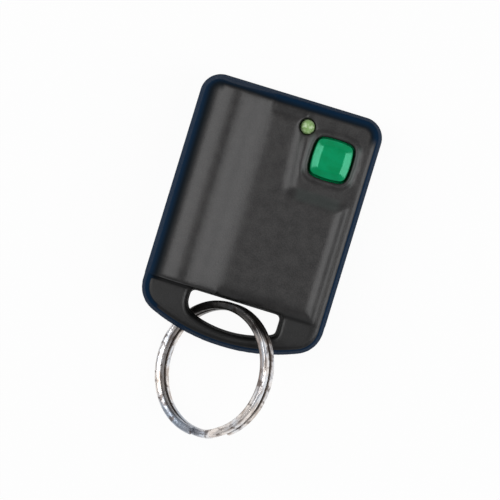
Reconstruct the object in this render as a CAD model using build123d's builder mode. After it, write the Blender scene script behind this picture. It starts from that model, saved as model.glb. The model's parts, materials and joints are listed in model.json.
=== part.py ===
from build123d import *
from math import acos, asin, atan2, cos, hypot, pi, radians, sin, sqrt, tan
import os

# Alarm key fob: a small two-part plastic casing that holds a 12 V cylinder battery in a barrel along
# its left side, a circuit board with one green push button and a lamp, and a split key ring in the
# slotted lug at its tail. Millimetres and degrees. The origin is the centre of the flat back, +X is
# to the right seen from the front, +Y points to the head, where the button is, and +Z out of the front.

# Casing
casing_width = 38.5
casing_length = 53.4
parting_height = 5.8
plateau_step = 1.4
front_draft = 10.5
rear_draft = 2.0
head_corner_radius = 4.3
tail_corner_radius = 6.0
tail_arc_radius = 40.0
wall = 1.5
front_wall = 1.4
floor_thickness = 1.5
rim_fillet = 1.2
back_fillet = 1.4
overrun = 2.0
seam_margin = 0.02

# Barrel over the battery, and the skirt that runs from it down to the plateau
barrel_wall = 1.45
barrel_side_bite = 0.16
barrel_head_step = 0.05
barrel_end_fillet = 0.8
skirt_slope = 35.0
skirt_reach = 7.8

# Plateau and the recess for the button
plateau_side_margin = 2.95
plateau_slope = 35.0
plateau_fillet = 3.0
plateau_head_margin = 3.2
recess_length = 18.7
recess_width_at_head = 16.05
recess_width_at_foot = 14.65

# Lug at the tail, with the slot for the key ring
lug_length = 10.0
slot_width = 19.7
slot_offset = 0.4
slot_draft = 5.0
bar_width = 3.1
slot_side_share = 1 / 3
slot_head_radius = 1.3
slot_right_radius = 1.3
slot_left_radius = 3.4
slot_corner_share = 0.73
lip_radius = 0.8
lip_steps = 4
slot_foot_chamfer = 0.5

# Joint between the covers
tongue_thickness = 0.7
tongue_height = 0.9
tongue_clearance = 0.12

# Circuit board and what holds it
board_thickness = 1.0
board_clearance = 0.35
rib_height = 0.8
rib_width = 1.2
rib_length = 30.0
rib_side_margin = 7.25
solder_depth = 0.5
lead_clearance = 0.1

# Battery, 12 V size with a steel can, and its leaf contacts
battery_diameter = 10.3
battery_length = 28.5
battery_clearance = 0.3
battery_lift = 0.65
battery_tail_clearance = 1.2
cap_diameter = 3.6
cap_length = 0.9
plate_diameter = 6.4
plate_thickness = 0.3
contact_thickness = 0.4
contact_width = 7.0
contact_foot = 3.0
contact_bow = 0.8
contact_top_margin = 2.2

# Push button
button_width = 7.9
button_bulge = 0.4
button_corner_radius = 1.3
button_side_margin = 8.85
button_head_margin = 10.65
button_stand = 1.7
button_top_width = 5.0
button_top_bulge = 0.1
button_top_radius = 0.4
button_bevel_drop = 0.85
button_gap = 0.38
button_flange_overlap = 0.65
button_flange_thickness = 0.8
button_stem_diameter = 3.0
button_stem_length = 0.8
button_float = 0.05
collar_width = 1.0
collar_height = 0.45
collar_fillet = 0.2

# Tact switch
switch_width = 6.0
switch_body_height = 3.1
switch_frame_thickness = 0.4
switch_total_height = 5.0
plunger_diameter = 3.5
plunger_flange_diameter = 4.3
plunger_flange_thickness = 0.5
plunger_clearance = 0.06
switch_well_clearance = 0.2
switch_travel = 0.3
dome_height = 0.6
dome_thickness = 0.12
dome_clearance = 0.25
terminal_width = 0.7
terminal_thickness = 0.3
terminal_spacing = 4.5

# Lamp
lamp_side_margin = 15.45
lamp_head_margin = 5.6
lamp_diameter = 3.0
lamp_hole_clearance = 0.15
lamp_flange_width = 0.4
lamp_flange_thickness = 1.0
lamp_length = 5.3
lamp_dome_flat_share = 0.02
lamp_stand = 0.9
lamp_lead_width = 0.5
lamp_lead_spacing = 1.27
lamp_cup_width = 1.15
lamp_cup_height = 1.2
lamp_post_height = 2.6

# Parts on the board
chip_length = 9.9
chip_width = 3.9
chip_thickness = 1.4
chip_pin_count = 8
chip_end_margin = 0.75
chip_pin_width = 0.42
chip_pin_thickness = 0.2
chip_pin_reach = 1.05
can_diameter = 8.4
can_height = 3.2
can_flange_width = 0.4
can_flange_thickness = 0.5
can_pin_diameter = 0.45
can_pin_circle = 5.08
can_pin_count = 3
can_track_clearance = 0.15
transistor_length = 2.9
transistor_width = 1.3
transistor_height = 1.0
transistor_lead_width = 0.4
transistor_lead_reach = 0.6
transistor_lead_thickness = 0.15
resistor_length = 2.0
resistor_width = 1.25
resistor_height = 0.5
capacitor_length = 2.0
capacitor_width = 1.25
capacitor_height = 0.85
trimmer_width = 4.0
trimmer_height = 1.1
trimmer_rotor_diameter = 3.0
trimmer_rotor_height = 0.5
trimmer_slot_width = 0.5
trimmer_slot_depth = 0.3
track_width = 1.4
track_thickness = 0.1
track_margin = 1.5

# Case screw
screw_side_margin = 16.25
screw_lug_margin = 4.9
screw_diameter = 2.0
screw_length = 8.0
screw_head_diameter = 3.8
screw_head_height = 1.2
screw_cross_width = 0.6
screw_cross_length = 2.2
screw_cross_depth = 0.7
screw_clearance = 0.02
screw_hole_clearance = 0.2
boss_diameter = 4.8
counterbore_clearance = 0.25
screw_recess = 0.1

# Label recess in the back
label_width = 24.0
label_length = 13.0
label_depth = 0.3
label_corner_radius = 1.5
label_head_margin = 6.0

# Split key ring
ring_outer_diameter = 28.0
ring_offset = 0.0
ring_wire_width = 1.7
ring_wire_thickness = 1.3
ring_wire_fillet = 0.35
ring_coil_gap = 0.42
ring_centre_lift = 3.7
ring_slot_clearance = 0.5
ring_table_gap = 0.05
ring_jog_angle = 30.0
ring_end_gap_angle = 3.0
ring_jog_place = 16.0
ring_arcs_per_turn = 4
ring_samples = 720

# Places that follow from the sizes above
half_width = casing_width / 2
head_y = casing_length / 2
tail_y = -head_y
lug_y = tail_y + lug_length
board_underside = floor_thickness + rib_height
board_top = board_underside + board_thickness
switch_top = board_top + switch_total_height
flange_bottom = switch_top + button_float + button_stem_length
flange_top = flange_bottom + button_flange_thickness
ceiling_height = flange_top + button_float
shoulder_height = ceiling_height + front_wall
plateau_height = shoulder_height + plateau_step
battery_radius = battery_diameter / 2
barrel_radius = battery_radius + battery_clearance + barrel_wall
barrel_height = board_top + battery_lift + battery_radius
draft_sine = sin(radians(front_draft))
draft_cosine = cos(radians(front_draft))
barrel_x = (barrel_radius + (barrel_height - parting_height) * draft_sine) / draft_cosine
barrel_x = barrel_x - half_width - barrel_side_bite
plateau_ceiling = plateau_height - front_wall
crown_height = barrel_height + barrel_radius
button_x = half_width - button_side_margin
button_y = head_y - button_head_margin
lamp_x = half_width - lamp_side_margin
lamp_y = head_y - lamp_head_margin
screw_x = half_width - screw_side_margin
screw_y = lug_y + screw_lug_margin

os.makedirs("parts", exist_ok=True)


def plane_at_y(y):
    """Upright plane across the casing, with its X to the right and its Y upwards."""
    return Plane.XZ.offset(-y)


def write(piece, name):
    """Label a finished piece and write it to its own file."""
    piece.label = name
    export_step(piece, "parts/" + name + ".step")


def arc_point(centre, radius, angle):
    return (centre[0] + radius * cos(angle), centre[1] + radius * sin(angle))


def loft_block(outline, bottom, top, draft):
    """Straight-sided block over an outline, drawn in by the draft from its bottom to its top."""
    inset = abs(top - bottom) * tan(radians(draft))
    with BuildPart() as block:
        with BuildSketch(Plane.XY.offset(bottom)):
            add(outline)
        with BuildSketch(Plane.XY.offset(top)):
            add(offset(outline, amount=-inset, mode=Mode.PRIVATE))
        loft(ruled=True)
    return block.part


# Outline of the casing at the parting line, and the tray that the rear cover makes of it
with BuildSketch() as casing_outline:
    corner_y = tail_y + tail_arc_radius - sqrt(tail_arc_radius**2 - half_width**2)
    with BuildLine():
        Line((-half_width, corner_y), (-half_width, head_y))
        Line((-half_width, head_y), (half_width, head_y))
        Line((half_width, head_y), (half_width, corner_y))
        ThreePointArc((half_width, corner_y), (0, tail_y), (-half_width, corner_y))
    make_face()
    fillet(casing_outline.vertices().group_by(Axis.Y)[-1], head_corner_radius)
    fillet(casing_outline.vertices().group_by(Axis.Y)[0], tail_corner_radius)

tray_middle_y = (head_y + lug_y) / 2
with BuildSketch() as tray_outline:
    add(casing_outline.sketch)
    with Locations((0, tray_middle_y)):
        Rectangle(casing_width + overrun, head_y - lug_y, mode=Mode.INTERSECT)


def tray_inset(inset):
    """Outline of the tray drawn in by an even margin."""
    return offset(tray_outline.sketch, amount=-inset, mode=Mode.PRIVATE)


# Barrel and skirt, seen from the tail: a circle over the battery, then a reversed arc down to the
# plateau that is tangent to both
leave_angle = pi / 2 - radians(skirt_slope)
barrel_centre = (barrel_x, barrel_height)
skirt_start = arc_point(barrel_centre, barrel_radius, leave_angle)
skirt_radius = (skirt_start[1] - plateau_height) / (1 - cos(radians(skirt_slope)))
skirt_centre = (skirt_start[0] + skirt_radius * sin(radians(skirt_slope)), plateau_height + skirt_radius)
skirt_cut_x = barrel_x + skirt_reach
skirt_cut_angle = -pi / 2 - asin((skirt_centre[0] - skirt_cut_x) / skirt_radius)
skirt_cut = arc_point(skirt_centre, skirt_radius, skirt_cut_angle)
skirt_start_angle = -pi / 2 - radians(skirt_slope)
far_left = -half_width - overrun
barrel_left = barrel_x - barrel_radius

head_plane = Plane(
    origin=(0, head_y - barrel_head_step, parting_height),
    z_dir=(0, draft_cosine, draft_sine),
)

with BuildPart() as barrel_form:
    with BuildSketch(plane_at_y(head_y + overrun)):
        with BuildLine():
            Line((far_left, parting_height), (far_left, barrel_height))
            Line((far_left, barrel_height), (barrel_left, barrel_height))
            ThreePointArc(
                (barrel_left, barrel_height),
                arc_point(barrel_centre, barrel_radius, (pi + leave_angle) / 2),
                skirt_start,
            )
            ThreePointArc(
                skirt_start,
                arc_point(skirt_centre, skirt_radius, (skirt_start_angle + skirt_cut_angle) / 2),
                skirt_cut,
            )
            Line(skirt_cut, (skirt_cut_x, parting_height))
            Line((skirt_cut_x, parting_height), (far_left, parting_height))
        make_face()
    extrude(amount=head_y + overrun - lug_y)
    split(bisect_by=head_plane, keep=Keep.BOTTOM)
    upper_edges = barrel_form.edges().filter_by(lambda edge: edge.center().Z > shoulder_height)
    end_arcs = upper_edges.filter_by(GeomType.LINE, reverse=True)
    fillet(end_arcs.group_by(Axis.Y)[-1] + end_arcs.group_by(Axis.Y)[-2], rim_fillet)
    upper_edges = barrel_form.edges().filter_by(lambda edge: edge.center().Z > shoulder_height)
    end_arcs = upper_edges.filter_by(GeomType.LINE, reverse=True)
    fillet(end_arcs.group_by(Axis.Y)[0], barrel_end_fillet)
    add(loft_block(casing_outline.sketch, parting_height, crown_height + overrun, front_draft),
        mode=Mode.INTERSECT)

# Plateau, with sloping sides and the recess for the button cut out of its head corner
plateau_right = half_width - plateau_side_margin
plateau_head = head_y - plateau_head_margin
recess_y = head_y - recess_length
with BuildPart() as plateau_form:
    with BuildSketch(Plane.XY.offset(shoulder_height)):
        with BuildLine():
            Polyline(
                (barrel_x, lug_y),
                (plateau_right, lug_y),
                (plateau_right, recess_y),
                (half_width - recess_width_at_foot, recess_y),
                (half_width - recess_width_at_head, plateau_head),
                (barrel_x, plateau_head),
                close=True,
            )
        make_face()
    extrude(amount=skirt_start[1] - shoulder_height + overrun / 2, taper=plateau_slope)
    with BuildSketch(plane_at_y(head_y)):
        with BuildLine():
            Line((far_left, skirt_start[1]), skirt_start)
            ThreePointArc(
                skirt_start,
                arc_point(skirt_centre, skirt_radius, (skirt_start_angle - pi / 2) / 2),
                (skirt_centre[0], plateau_height),
            )
            Line((skirt_centre[0], plateau_height), (half_width, plateau_height))
            Line((half_width, plateau_height), (half_width, parting_height))
            Line((half_width, parting_height), (far_left, parting_height))
            Line((far_left, parting_height), (far_left, skirt_start[1]))
        make_face()
    extrude(amount=casing_length, mode=Mode.INTERSECT)
    crest = plateau_form.edges().filter_by(
        lambda edge: edge.center().Z > (shoulder_height + plateau_height) / 2
        and edge.center().X > skirt_start[0] + seam_margin
        and abs(edge.center().X - skirt_centre[0]) > seam_margin
    )
    fillet(crest, plateau_fillet)


def rounded_square(width, corner_radius, bulge=button_bulge):
    """Square with rounded corners and slightly bulged sides, centred on the button."""
    side = width / 2
    corner = side - bulge
    corners = [(corner, corner), (-corner, corner), (-corner, -corner), (corner, -corner)]
    bulges = [(0, side), (-side, 0), (0, -side), (side, 0)]
    with BuildSketch() as square:
        with BuildLine():
            for index in range(len(corners)):
                ThreePointArc(corners[index - 1], bulges[index - 1], corners[index])
        make_face()
        fillet(square.vertices(), corner_radius)
    return Pos(button_x, button_y) * square.sketch


def disc_block(centre, diameter, bottom, top, mode=Mode.ADD):
    """Upright round post or hole in the part being built."""
    with BuildSketch(Plane.XY.offset(bottom)) as disc:
        with Locations(centre):
            Circle(diameter / 2)
    extrude(disc.sketch, amount=top - bottom, mode=mode)


def box_block(centre, width, length, bottom, top, mode=Mode.ADD):
    """Upright rectangular block or hole in the part being built."""
    with BuildSketch(Plane.XY.offset(bottom)) as rectangle:
        with Locations(centre):
            Rectangle(width, length)
    extrude(rectangle.sketch, amount=top - bottom, mode=mode)


# Slot for the key ring at the mouth of the lug: straight along the casing, bowed along the bar
slot_left = slot_offset - slot_width / 2
slot_right = slot_offset + slot_width / 2
bar_y = tail_y + bar_width
slot_side_y = bar_y + slot_side_share * (lug_y - bar_y)
largest_corner = slot_corner_share * (lug_y - slot_side_y)
with BuildSketch() as slot_outline:
    with BuildLine():
        Line((slot_left, lug_y), (slot_right, lug_y))
        Line((slot_right, lug_y), (slot_right, slot_side_y))
        ThreePointArc((slot_right, slot_side_y), (slot_offset, bar_y), (slot_left, slot_side_y))
        Line((slot_left, slot_side_y), (slot_left, lug_y))
    make_face()
    fillet(slot_outline.vertices().group_by(Axis.Y)[-1], slot_head_radius)
    for corner_x, corner_radius in ((slot_right, slot_right_radius), (slot_left, slot_left_radius)):
        corner = slot_outline.vertices().sort_by_distance((corner_x, slot_side_y))[0]
        fillet(corner, min(corner_radius, largest_corner))

# Rounded lip of the slot, in steps round a quarter circle, on all its sides but the one to the head
with BuildPart() as slot_lip:
    for step in range(lip_steps):
        for turn in (step / lip_steps, (step + 1) / lip_steps):
            lip_angle = turn * pi / 2
            lip_level = shoulder_height - lip_radius * (1 - sin(lip_angle))
            lip_outset = lip_radius * (1 - cos(lip_angle))
            with BuildSketch(Plane.XY.offset(lip_level)):
                add(offset(slot_outline.sketch, amount=lip_outset, mode=Mode.PRIVATE))
        loft(ruled=True)
    lip_middle = (slot_offset, lug_y - (lug_length + overrun) / 2)
    with BuildSketch(Plane.XY.offset(shoulder_height - lip_radius)):
        with Locations(lip_middle):
            Rectangle(slot_width + lug_length, lug_length + overrun)
    extrude(amount=lip_radius, mode=Mode.INTERSECT)

# Chamfer round the foot of the slot
foot_inset = (shoulder_height - parting_height) * tan(radians(slot_draft))
foot_chamfer_top = parting_height + slot_foot_chamfer
with BuildPart() as slot_foot:
    with BuildSketch(Plane.XY.offset(parting_height)):
        add(offset(slot_outline.sketch, amount=slot_foot_chamfer - foot_inset, mode=Mode.PRIVATE))
    with BuildSketch(Plane.XY.offset(foot_chamfer_top)):
        add(offset(slot_outline.sketch, amount=-foot_inset, mode=Mode.PRIVATE))
    loft(ruled=True)

hole_width = button_width + 2 * button_gap
hole_radius = button_corner_radius + button_gap
bore_radius = battery_radius + battery_clearance
bore_tail_y = lug_y + wall
bore_head_y = head_y - wall - (crown_height - parting_height) * tan(radians(front_draft))
plateau_edge = plateau_height - shoulder_height + wall
pocket_left = barrel_x
pocket_right = plateau_right - plateau_edge
pocket_tail = lug_y + plateau_edge
pocket_head = recess_y - plateau_edge
screw_place = (screw_x, screw_y)
screw_tip = screw_head_height + screw_recess + screw_length

with BuildPart() as front_cover:
    add(loft_block(casing_outline.sketch, parting_height, shoulder_height, front_draft))
    fillet(front_cover.faces().sort_by(Axis.Z)[-1].edges(), rim_fillet)
    add(barrel_form.part)
    add(plateau_form.part)
    with BuildSketch(Plane.XY.offset(ceiling_height)):
        add(rounded_square(hole_width + 2 * collar_width, hole_radius + collar_width))
    extrude(amount=front_wall + collar_height)
    add(loft_block(tray_inset(wall), parting_height, ceiling_height, front_draft), mode=Mode.SUBTRACT)
    with BuildSketch(plane_at_y(bore_head_y)):
        with Locations(barrel_centre):
            Circle(bore_radius)
    extrude(amount=bore_head_y - bore_tail_y, mode=Mode.SUBTRACT)
    pocket_middle = ((pocket_left + pocket_right) / 2, (pocket_tail + pocket_head) / 2)
    box_block(
        pocket_middle,
        pocket_right - pocket_left,
        pocket_head - pocket_tail,
        parting_height,
        plateau_ceiling,
        mode=Mode.SUBTRACT,
    )
    with BuildSketch(Plane.XY.offset(parting_height)):
        add(tray_inset(wall - tongue_thickness - tongue_clearance))
    extrude(amount=tongue_height + tongue_clearance, mode=Mode.SUBTRACT)
    disc_block(screw_place, boss_diameter, board_top, plateau_ceiling)
    screw_hole = screw_diameter + 2 * screw_clearance
    disc_block(screw_place, screw_hole, board_top, screw_tip + screw_diameter / 2, mode=Mode.SUBTRACT)
    with BuildSketch(Plane.XY.offset(parting_height)):
        add(rounded_square(hole_width, hole_radius))
    extrude(amount=plateau_height, mode=Mode.SUBTRACT)
    lamp_hole = lamp_diameter + 2 * lamp_hole_clearance
    disc_block((lamp_x, lamp_y), lamp_hole, parting_height, plateau_height, mode=Mode.SUBTRACT)
    add(loft_block(slot_outline.sketch, shoulder_height, parting_height, slot_draft), mode=Mode.SUBTRACT)
    add(slot_lip.part, mode=Mode.SUBTRACT)
    add(slot_foot.part, mode=Mode.SUBTRACT)
write(front_cover.part, "front_cover")

# Rear cover: a tray with the flat back, a lip inside the front cover, two ribs and a screw pillar
# under the board, and a bare recess for a label
counterbore_diameter = screw_head_diameter + 2 * counterbore_clearance
counterbore_depth = screw_head_height + screw_recess
rear_run = parting_height * tan(radians(rear_draft))
label_y = head_y - label_head_margin - label_length / 2
with BuildPart() as rear_cover:
    add(loft_block(tray_outline.sketch, parting_height, 0, rear_draft))
    fillet(rear_cover.faces().sort_by(Axis.Z)[0].edges(), back_fillet)
    with BuildSketch(Plane.XY.offset(parting_height)):
        add(tray_inset(wall - tongue_thickness))
    extrude(amount=tongue_height)
    add(
        loft_block(tray_inset(wall), parting_height + tongue_height, floor_thickness, rear_draft),
        mode=Mode.SUBTRACT,
    )
    for side in (-1, 1):
        rib_centre = (side * (half_width - rib_side_margin), tray_middle_y)
        box_block(rib_centre, rib_width, rib_length, floor_thickness, board_underside)
    disc_block(screw_place, counterbore_diameter + 2 * rib_width, floor_thickness, board_underside)
    disc_block(screw_place, counterbore_diameter, 0, counterbore_depth, mode=Mode.SUBTRACT)
    shank_hole = screw_diameter + 2 * screw_hole_clearance
    disc_block(screw_place, shank_hole, 0, board_underside, mode=Mode.SUBTRACT)
    with BuildSketch():
        with Locations((0, label_y)):
            RectangleRounded(label_width, label_length, label_corner_radius)
    extrude(amount=label_depth, mode=Mode.SUBTRACT)
write(rear_cover.part, "rear_cover")

# Case screw, a pan head with a cross recess, driven from the back
with BuildPart() as case_screw:
    disc_block(screw_place, screw_head_diameter, screw_recess, counterbore_depth)
    fillet(case_screw.edges().group_by(Axis.Z)[0], screw_head_height / 3)
    disc_block(screw_place, screw_diameter, counterbore_depth, screw_tip)
    chamfer(case_screw.edges().group_by(Axis.Z)[-1], screw_diameter / 4)
    cross_top = screw_recess + screw_cross_depth
    for width, length in ((screw_cross_width, screw_cross_length), (screw_cross_length, screw_cross_width)):
        box_block(screw_place, width, length, 0, cross_top, mode=Mode.SUBTRACT)
write(case_screw.part, "case_screw")

# Circuit board, cut to the inside of the rear cover
board_inset = wall + rear_run + board_clearance
board_edge_x = half_width - board_inset
board_tail_y = lug_y + board_inset
board_head_y = head_y - board_inset
lead_places = [(lamp_x - lamp_lead_spacing / 2 * side, lamp_y) for side in (-1, 1)]
lead_hole = lamp_lead_width + 2 * lead_clearance
with BuildPart() as circuit_board:
    with BuildSketch(Plane.XY.offset(board_underside)):
        add(tray_inset(board_inset))
    extrude(amount=board_thickness)
    disc_block(screw_place, shank_hole, board_underside, board_top, mode=Mode.SUBTRACT)
    for place in lead_places:
        box_block(place, lead_hole, lead_hole, board_underside, board_top, mode=Mode.SUBTRACT)
write(circuit_board.part, "circuit_board")

# Battery: steel can with a cap at its head end and a plate at its tail end
battery_tail_y = bore_tail_y + battery_tail_clearance + contact_thickness + contact_bow
battery_head_y = battery_tail_y + battery_length
can_head_y = battery_head_y - cap_length
can_tail_y = battery_tail_y + plate_thickness


def barrel_disc(diameter, tail, head):
    """Disc or cylinder on the axis of the barrel."""
    with BuildSketch(plane_at_y(head)) as disc:
        with Locations(barrel_centre):
            Circle(diameter / 2)
    extrude(disc.sketch, amount=head - tail)


with BuildPart() as battery_can:
    barrel_disc(battery_diameter, can_tail_y, can_head_y)
    fillet(battery_can.edges(), plate_thickness)
write(battery_can.part, "battery_can")

with BuildPart() as battery_positive_cap:
    barrel_disc(cap_diameter, can_head_y, battery_head_y)
    fillet(battery_positive_cap.edges().group_by(Axis.Y)[-1], plate_thickness)
write(battery_positive_cap.part, "battery_positive_cap")

with BuildPart() as battery_negative_plate:
    barrel_disc(plate_diameter, battery_tail_y, can_tail_y)
write(battery_negative_plate.part, "battery_negative_plate")


def leaf_contact(contact_y, outward):
    """Leaf of sprung strip that stands on the board and bows against one end of the battery."""
    leaf_top = barrel_height + battery_radius - contact_top_margin
    strip_y = contact_y + outward * (contact_bow + contact_thickness / 2)
    foot_y = strip_y - outward * contact_foot
    foot_height = board_top + contact_thickness / 2
    bow_y = contact_y + outward * contact_thickness / 2
    with BuildPart() as contact:
        with BuildSketch(Plane.YZ.offset(barrel_x - contact_width / 2)):
            with BuildLine() as strip:
                Line((foot_y, foot_height), (strip_y, foot_height))
                Line((strip_y, foot_height), (strip_y, (foot_height + barrel_height) / 2))
                ThreePointArc(
                    (strip_y, (foot_height + barrel_height) / 2),
                    (bow_y, barrel_height),
                    (strip_y, leaf_top),
                )
            trace(line_width=contact_thickness)
        extrude(amount=contact_width)
    return contact.part


write(leaf_contact(battery_head_y, 1), "battery_positive_contact")
write(leaf_contact(battery_tail_y, -1), "battery_negative_contact")

# Push button: a square cap with bevelled edges, held in by a flange, with a stem down to the switch
button_height = shoulder_height + button_stand
button_flange_width = hole_width + 2 * button_flange_overlap
bevel_height = button_height - button_bevel_drop
with BuildPart() as push_button:
    with BuildSketch(Plane.XY.offset(flange_bottom)):
        add(rounded_square(button_flange_width, hole_radius))
    extrude(amount=button_flange_thickness)
    with BuildSketch(Plane.XY.offset(flange_top)):
        add(rounded_square(button_width, button_corner_radius))
    extrude(amount=bevel_height - flange_top)
    with BuildSketch(Plane.XY.offset(bevel_height)):
        add(rounded_square(button_width, button_corner_radius))
    with BuildSketch(Plane.XY.offset(button_height)):
        add(rounded_square(button_top_width, button_top_radius, button_top_bulge))
    loft(ruled=True)
    stem_bottom = switch_top + button_float
    disc_block((button_x, button_y), button_stem_diameter, stem_bottom, flange_bottom)
write(push_button.part, "push_button")

# Tact switch on the board, under the button: base with a well, snap dome, plunger, metal frame on top
# and four terminals down its sides
button_place = (button_x, button_y)
switch_base_top = board_top + switch_body_height
switch_well_diameter = plunger_flange_diameter + 2 * switch_well_clearance
well_floor = switch_base_top - plunger_flange_thickness - dome_height - plunger_clearance
dome_top = well_floor + dome_height
with BuildPart() as switch_base:
    box_block(button_place, switch_width, switch_width, board_top, switch_base_top)
    disc_block(button_place, switch_well_diameter, well_floor, switch_base_top, mode=Mode.SUBTRACT)
write(switch_base.part, "switch_base")

with BuildPart() as switch_frame:
    frame_top = switch_base_top + switch_frame_thickness
    box_block(button_place, switch_width, switch_width, switch_base_top, frame_top)
    frame_hole = plunger_diameter + 2 * plunger_clearance
    disc_block(button_place, frame_hole, switch_base_top, frame_top, mode=Mode.SUBTRACT)
write(switch_frame.part, "switch_frame")

with BuildPart() as switch_plunger:
    disc_block(button_place, plunger_flange_diameter, dome_top, dome_top + plunger_flange_thickness)
    disc_block(button_place, plunger_diameter, dome_top, switch_top)
    fillet(switch_plunger.edges().group_by(Axis.Z)[-1], plunger_clearance * 2)
write(switch_plunger.part, "switch_plunger")

dome_rim = switch_well_diameter / 2 - dome_clearance
dome_radius = (dome_rim**2 + dome_height**2) / (2 * dome_height)
dome_centre = dome_top - dome_radius
dome_angle = asin(dome_rim / dome_radius)
with BuildPart() as switch_dome:
    with BuildSketch(Plane.XZ.offset(-button_y)):
        inner_radius = dome_radius - dome_thickness
        inner_angle = acos((well_floor - dome_centre) / inner_radius)
        outer_rim = (button_x + dome_rim, well_floor)
        inner_rim = (button_x + inner_radius * sin(inner_angle), well_floor)
        outer_middle = arc_point((button_x, dome_centre), dome_radius, pi / 2 - dome_angle / 2)
        inner_middle = arc_point((button_x, dome_centre), inner_radius, pi / 2 - inner_angle / 2)
        with BuildLine():
            ThreePointArc((button_x, dome_top), outer_middle, outer_rim)
            Line(outer_rim, inner_rim)
            ThreePointArc(inner_rim, inner_middle, (button_x, dome_top - dome_thickness))
            Line((button_x, dome_top - dome_thickness), (button_x, dome_top))
        make_face()
    revolve(axis=Axis((button_x, button_y, 0), (0, 0, 1)))
write(switch_dome.part, "switch_dome")

terminal_height = board_top + switch_body_height / 2
with BuildPart() as switch_terminals:
    for side_x in (-1, 1):
        for side_y in (-1, 1):
            terminal_x = button_x + side_x * (switch_width + terminal_thickness) / 2
            terminal_place = (terminal_x, button_y + side_y * terminal_spacing / 2)
            box_block(terminal_place, terminal_thickness, terminal_width, board_top, terminal_height)
write(switch_terminals.part, "switch_terminals")

# Lamp: a 3 mm lens moulded round its two leads, one ending in a post and one in a cup
lamp_top_height = shoulder_height + lamp_stand
lamp_base = lamp_top_height - lamp_length
lamp_flange_diameter = lamp_diameter + 2 * lamp_flange_width
lamp_radius = lamp_diameter / 2
lead_bottom = board_underside - solder_depth
lamp_place = (lamp_x, lamp_y)
with BuildPart() as led_leads:
    box_block(lead_places[0], lamp_lead_width, lamp_lead_width, lead_bottom, lamp_base + lamp_post_height)
    cup_bottom = lamp_base + lamp_cup_height
    box_block(lead_places[1], lamp_lead_width, lamp_lead_width, lead_bottom, cup_bottom)
    cup_place = (lead_places[1][0], lamp_y)
    cup_top = cup_bottom + lamp_cup_height
    box_block(cup_place, lamp_lead_width, lamp_cup_width, cup_bottom, cup_top)
write(led_leads.part, "led_leads")

with BuildPart() as led_lens:
    disc_block(lamp_place, lamp_flange_diameter, lamp_base, lamp_base + lamp_flange_thickness)
    disc_block(lamp_place, lamp_diameter, lamp_base, lamp_top_height)
    dome_edge = led_lens.edges().group_by(Axis.Z)[-1]
    fillet(dome_edge, lamp_radius * (1 - lamp_dome_flat_share))
    add(led_leads.part, mode=Mode.SUBTRACT)
write(led_lens.part, "led_lens")

# Free field of the board, to the right of the battery, where the small parts are placed by shares of
# its width and length
field_left = barrel_x + battery_radius
field_width = board_edge_x - field_left
field_length = board_head_y - board_tail_y


def field_place(share_x, share_y):
    return (field_left + share_x * field_width, board_tail_y + share_y * field_length)


chip_shares = (0.34, 0.59)
can_share = 0.33
trimmer_shares = (0.73, 0.55)
transistor_shares = (0.14, 0.21)
resistor_shares = [(0.10, 0.31), (0.10, 0.38), (0.10, 0.45), (0.10, 0.62), (0.10, 0.69), (0.35, 0.74)]
capacitor_shares = [(0.35, 0.80), (0.12, 0.80), (0.67, 0.125), (0.80, 0.125), (0.70, 0.63)]

# Encoder chip with a row of pins along each side
chip_place = field_place(*chip_shares)
chip_bottom = board_top + chip_pin_thickness
chip_pin_pitch = (chip_length - 2 * chip_end_margin) / (chip_pin_count - 1)
with BuildPart() as encoder_chip:
    box_block(chip_place, chip_width, chip_length, chip_bottom, chip_bottom + chip_thickness)
    chamfer(encoder_chip.edges().group_by(Axis.Z)[-1], chip_pin_thickness)
write(encoder_chip.part, "encoder_chip")

pin_shoulder = chip_bottom + chip_thickness / 2
with BuildPart() as encoder_pins:
    for side in (-1, 1):
        inner_x = chip_place[0] + side * chip_width / 2
        knee_x = inner_x + side * (chip_pin_reach / 2)
        toe_x = inner_x + side * chip_pin_reach
        for index in range(chip_pin_count):
            pin_y = chip_place[1] + (index - (chip_pin_count - 1) / 2) * chip_pin_pitch
            foot_height = board_top + chip_pin_thickness / 2
            with BuildSketch(plane_at_y(pin_y + chip_pin_width / 2)):
                with BuildLine():
                    Polyline((inner_x, pin_shoulder), (knee_x, pin_shoulder), (knee_x, foot_height),
                             (toe_x, foot_height))
                trace(line_width=chip_pin_thickness)
            extrude(amount=chip_pin_width)
    box_block(chip_place, chip_width, chip_length, chip_bottom, chip_bottom + chip_thickness,
              mode=Mode.SUBTRACT)
write(encoder_pins.part, "encoder_pins")

# Resonator in a round metal can, on three pins, beside the antenna track
track_x = board_edge_x - track_margin
can_flange_diameter = can_diameter + 2 * can_flange_width
can_x = track_x - (track_width + can_flange_diameter) / 2 - can_track_clearance
can_place = (can_x, board_tail_y + can_share * field_length)
with BuildPart() as resonator_can:
    disc_block(can_place, can_flange_diameter, board_top, board_top + can_flange_thickness)
    disc_block(can_place, can_diameter, board_top, board_top + can_height)
    fillet(resonator_can.edges().group_by(Axis.Z)[-1], can_flange_thickness)
write(resonator_can.part, "resonator_can")

with BuildPart() as resonator_pins:
    with BuildSketch(Plane.XY.offset(lead_bottom)):
        with Locations(can_place):
            with PolarLocations(can_pin_circle / 2, can_pin_count):
                Circle(can_pin_diameter / 2)
    extrude(amount=solder_depth)
write(resonator_pins.part, "resonator_pins")

# Transistor with two leads on one side and one on the other
transistor_place = field_place(*transistor_shares)
transistor_bottom = board_top + transistor_lead_thickness
with BuildPart() as rf_transistor:
    box_block(transistor_place, transistor_length, transistor_width, transistor_bottom,
              transistor_bottom + transistor_height)
    chamfer(rf_transistor.edges().group_by(Axis.Z)[-1], transistor_lead_thickness)
write(rf_transistor.part, "rf_transistor")

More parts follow.
